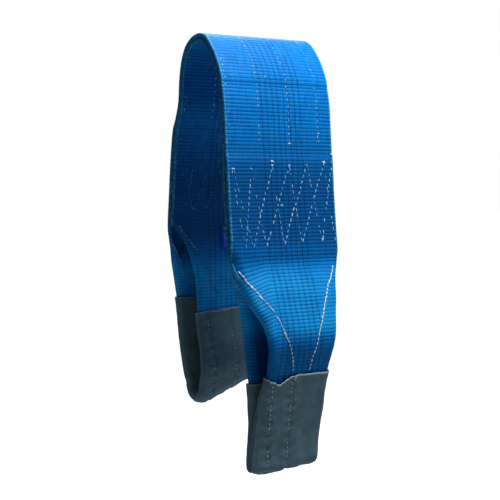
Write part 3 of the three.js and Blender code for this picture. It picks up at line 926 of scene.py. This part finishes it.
def bodySeams(limb, path):
    lift = web["plyApart"] + web["halfThick"] + 0.1 - web["seamSink"] * 0.6

    def place(hand, x, s, up):
        p = at(path, s)
        n = sideAt(path, s) * limb["outward"] * hand
        return Vector((x, p.x + n.x * (lift + up), p.y + n.y * (lift + up)))

    stitches = []
    steps = [path["length"] * k / 80 for k in range(81)]
    for hand in (1, -1):
        for x in web["seams"]:
            row = [(x + web["seamWobble"] * math.sin(s / web["wobbleLength"] + x), s) for s in steps]
            stitches += sewRow(*toRow(row, partial(place, hand)), longStitch)
    name = limb["name"]
    if limb is front:
        heights = [p.y for p in path["points"]]
        marks = [(x, path["lengths"][next(k for k, z in enumerate(heights) if z < low)]) for x, low in mends]
        stitches += knots(marks, partial(place, 1), 2)
    nodes = [f"{name}_seam_{k}" for k in range(1, 5)]
    nodes += [f"crown_seam_{k}" for k in range(1, 5)] if limb is front else []
    piece = sewPiece(f"seams_{name}", stitches, fadedYarn, nodes)
    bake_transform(piece)


def blockStitching(limb, surface, distance):
    name = limb["name"]
    top = block[name]
    for ply, first in (("outer", True), ("inner", False)):
        def face(x, s, up):
            return Vector(surface(x, s, web["halfThick"] + 0.25 + up))

        stitches = []
        for row in block["rows"]:
            turns = [(x, top - low * block["height"] + block["lean"] * (x - block["leanFrom"]))
                     for x, low in row]
            for (xa, za), (xb, zb) in zip(turns, turns[1:]):
                steps = [(xa + (xb - xa) * k / 12, za + (zb - za) * k / 12) for k in range(13)]
                look = blockStitch if zb > za else wornBlockStitch
                stitches += sewRow(*toRow([(x, distance(z, first)) for x, z in steps], face), look)
            ends = [(x, distance(z, first)) for x, z in turns if z > top - 20 or x > 60]
            stitches += knots(ends, face, 2)
        if limb is front and first:
            stitches += knots([(x, distance(z, True)) for x, z in block["tufts"]], face, 4)
        # the inner ply's stitches take the thread with painted shade
        threadLook = fadedYarn if ply == "outer" else shadedYarn
        piece = sewPiece(f"block_stitching_{name}_{ply}", stitches, threadLook,
                         [f"{name}_block_stitch_{ply}"])
        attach(piece, f"{name}_limb")


def foldStitching(limb, surface, distance):
    name = limb["name"]
    legs = {"first": ("near", "far")[limb is back], "last": ("far", "near")[limb is back]}
    tables = {-1: table(limb["sewn"], 1), 1: table(limb["sewn"], 2)}
    step, goodSteps = 4, 28
    for leg, called in legs.items():
        stitches = []
        hemEnd = max(z for x, z in limb["hem"][leg]) + 4

        def face(x, s, up):
            return Vector(surface(x, s, web["halfThick"] + 0.3 + up))

        for hand in (-1, 1):
            places = []
            z = limb["bodyEnd"] - 20
            while z > hemEnd:
                places.append((tables[hand](z), distance(z, leg == "first")))
                z -= step
            # the lower part of each row is worn
            stitches += sewRow(*toRow(places[:goodSteps + 1], face), foldStitch)
            if len(places) > goodSteps + 1:
                stitches += sewRow(*toRow(places[goodSteps:], face), wornFoldStitch)
        # only the front eye's near leg gets white thread, the other legs the thread with painted shade
        threadLook = sewingYarn if limb is front and called == "near" else shadedYarn
        piece = sewPiece(f"fold_stitching_{name}_{called}", stitches, threadLook,
                         [f"{name}_fold_stitch_{called}_left", f"{name}_fold_stitch_{called}_right"])
        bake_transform(piece)


def sleeveStitching(limb, path, starts, ends):
    name = limb["name"]
    stitches = []
    for seam in sleeve["seams"][name]:
        key = round(seam / 4) * 4
        count = 60
        steps = [starts[key] + (ends[key] - starts[key]) * k / count for k in range(count + 1)]

        def face(x, s, up):
            p = at(path, s)
            n = sideAt(path, s) * limb["outward"]
            lift = sleeve["outer"] + up
            z = p.y + n.y * lift
            return Vector((x, p.x + n.x * lift, z + tilt(limb, x, z)))

        look = dict(sleeveStitch, width=1.0, missing=0.6) if limb is back and seam < -20 else sleeveStitch
        stitches += sewRow(*toRow([(seam, s) for s in steps], face), look)
    if limb is front:
        hemEnds = [(-2, starts[-4] + 1), (-3, starts[-4] + 4)]
        stitches += knots(hemEnds, lambda x, s, up: face(x, s, up + 1.6), 4)
    piece = sewPiece(f"sleeve_stitching_{name}", stitches, sleeveYarn,
                     [f"{name}_sleeve_seam_centre", f"{name}_sleeve_seam_edge"])
    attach(piece, f"{name}_eye")


# Label
label = {"left": -8, "right": 42, "top": -301, "margin": 7, "height": 25.5, "thick": 0.9, "gap": 3.2}


def labelCloth(name, surface, distance, top, low, curl):
    places = spread([label["left"] + 0.5, (label["right"] - 0.5, 4)])
    half = label["thick"] / 2
    section = [(w, half) for w in places] + [(label["right"], 0.0)]
    section += [(w, -half) for w in reversed(places)] + [(label["left"], 0.0)]
    s0, s1 = distance(top, False), distance(low, False)
    count = 10

    def place(i, j):
        w, h = section[i]
        t = j / (count - 1)
        s = s0 + (s1 - s0) * t
        lift = web["halfThick"] + 0.85 + half + h + curl * t * t * (1 + 0.5 * math.sin(w / 9))
        return surface(w, s, lift, 0.0)

    return gridPiece(name, len(section), count, place, lambda i, j: (section[i % len(section)][0], j * 3.0))


print("web, upper lengths")
for limb in (front, back):
    limbPath = upperWeb(limb, "outer")
    upperWeb(limb, "inner")
    bodySeams(limb, limbPath)

for limb in (front, back):
    print("eye:", limb["name"])
    loop, loopSurface, loopBottom, loopDistance = lowerWeb(limb)
    eyeLiner(limb, loop, loopBottom, loopDistance)
    hemStarts, hemEnds = eyeSleeve(limb, loop, loopBottom, loopDistance)
    blockStitching(limb, loopSurface, loopDistance)
    foldStitching(limb, loopSurface, loopDistance)
    sleeveStitching(limb, loop, hemStarts, hemEnds)

print("label")
marginEnd = label["top"] - label["margin"]
# the margin wears the web's colour in painted shade
labelMargin = labelCloth("label_margin_cloth", loopSurface, loopDistance, label["top"], marginEnd, 0.0)
finishPiece(labelMargin, shadedMarginCloth, ["label_margin"])
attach(labelMargin, "back_eye")
tagTop = marginEnd - label["gap"]
tagLow = tagTop - label["height"]
labelTag = labelCloth("label_tag_cloth", loopSurface, loopDistance, tagTop, tagLow, 1.6)
finishPiece(labelTag, coatedCloth, ["label_tag"])
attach(labelTag, "label")
rowPlace = loopDistance(label["top"] - 3.5, False)
labelRow = [(x, rowPlace) for x in range(label["left"] + 3, label["right"] - 2, 3)]
labelStitches = sewRow(*toRow(labelRow, lambda x, s, up: Vector(loopSurface(x, s, 5.0 + up, 0.0))),
                       dict(sleeveStitch, missing=0, pitch=5.5, length=3.8, lift=0))
# the label's stitches in the thread with painted shade
labelSewing = sewPiece("label_stitching", labelStitches, shadedYarn, ["label_stitch"])
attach(labelSewing, "back_eye")

# Floor, light and camera
print("stage")
low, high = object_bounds()
bpy.ops.mesh.primitive_plane_add(size=40, location=(0, 0, low.z - 0.35))
floor = bpy.context.object
floor.name = "floor"
floor.select_set(False)
matt, addMatt = newMaterial("matt white floor")
mattSeen = addMatt("LightPath", {}, "Is Camera Ray")
mattShader = addMatt("BsdfPrincipled", {
    "Base Color": linear("c8c8c8"), "Roughness": 0.95, "Specular IOR Level": 0.1,
    "Emission Color": linear("ffffff"), "Emission Strength": mattSeen})
addMatt("OutputMaterial", {0: mattShader})
floor.data.materials.append(matt)

lamps = {
    "key": {"at": (0.22, -0.50, 1.0), "size": 0.5, "watts": 27},
    "side": {"at": (1.15, -0.9, 0.05), "size": 0.5, "watts": 2.4},
    "behind": {"at": (0.5, 1.2, 1.3), "size": 1.0, "watts": 30},
}
middle = (low + high) / 2
for name, lamp in lamps.items():
    light = bpy.data.lights.new(name, "AREA")
    light.energy = lamp["watts"]
    light.size = lamp["size"]
    holder = bpy.data.objects.new(name, light)
    bpy.context.collection.objects.link(holder)
    holder.location = lamp["at"]
    holder.rotation_euler = (middle - holder.location).to_track_quat("-Z", "Y").to_euler()

world = bpy.data.worlds.new("studio")
bpy.context.scene.world = world
world.use_nodes = True
# the backdrop is white to look at, and lights the sling only a little
seen = addNode(world.node_tree, "LightPath", {}, "Is Camera Ray")
strength = addNode(world.node_tree, "Math", {0: seen, 1: 0.91, 2: 0.09}, operation="MULTIPLY_ADD")
backdrop = world.node_tree.nodes["Background"]
world.node_tree.links.new(strength, backdrop.inputs[1])
backdrop.inputs[0].default_value = (1, 1, 1, 1)

view = {
    "azimuth": -31.0, "elevation": 3.54, "distance": 1.78925, "target": (-0.00173, 0, -0.33617), "lens": 77.6,
}
turned, raised = math.radians(view["azimuth"]), math.radians(view["elevation"])
level = Vector((math.sin(turned), -math.cos(turned), 0.0))
backward = level * math.cos(raised) + Vector((0.0, 0.0, math.sin(raised)))
camera = bpy.data.objects.new("camera", bpy.data.cameras.new("camera"))
bpy.context.collection.objects.link(camera)
camera.data.lens = view["lens"]
camera.location = Vector(view["target"]) + backward * view["distance"]
camera.rotation_mode = "QUATERNION"
camera.rotation_quaternion = (-backward).to_track_quat("-Z", "Y")
bpy.context.scene.camera = camera
bpy.context.scene.view_settings.view_transform = "Standard"
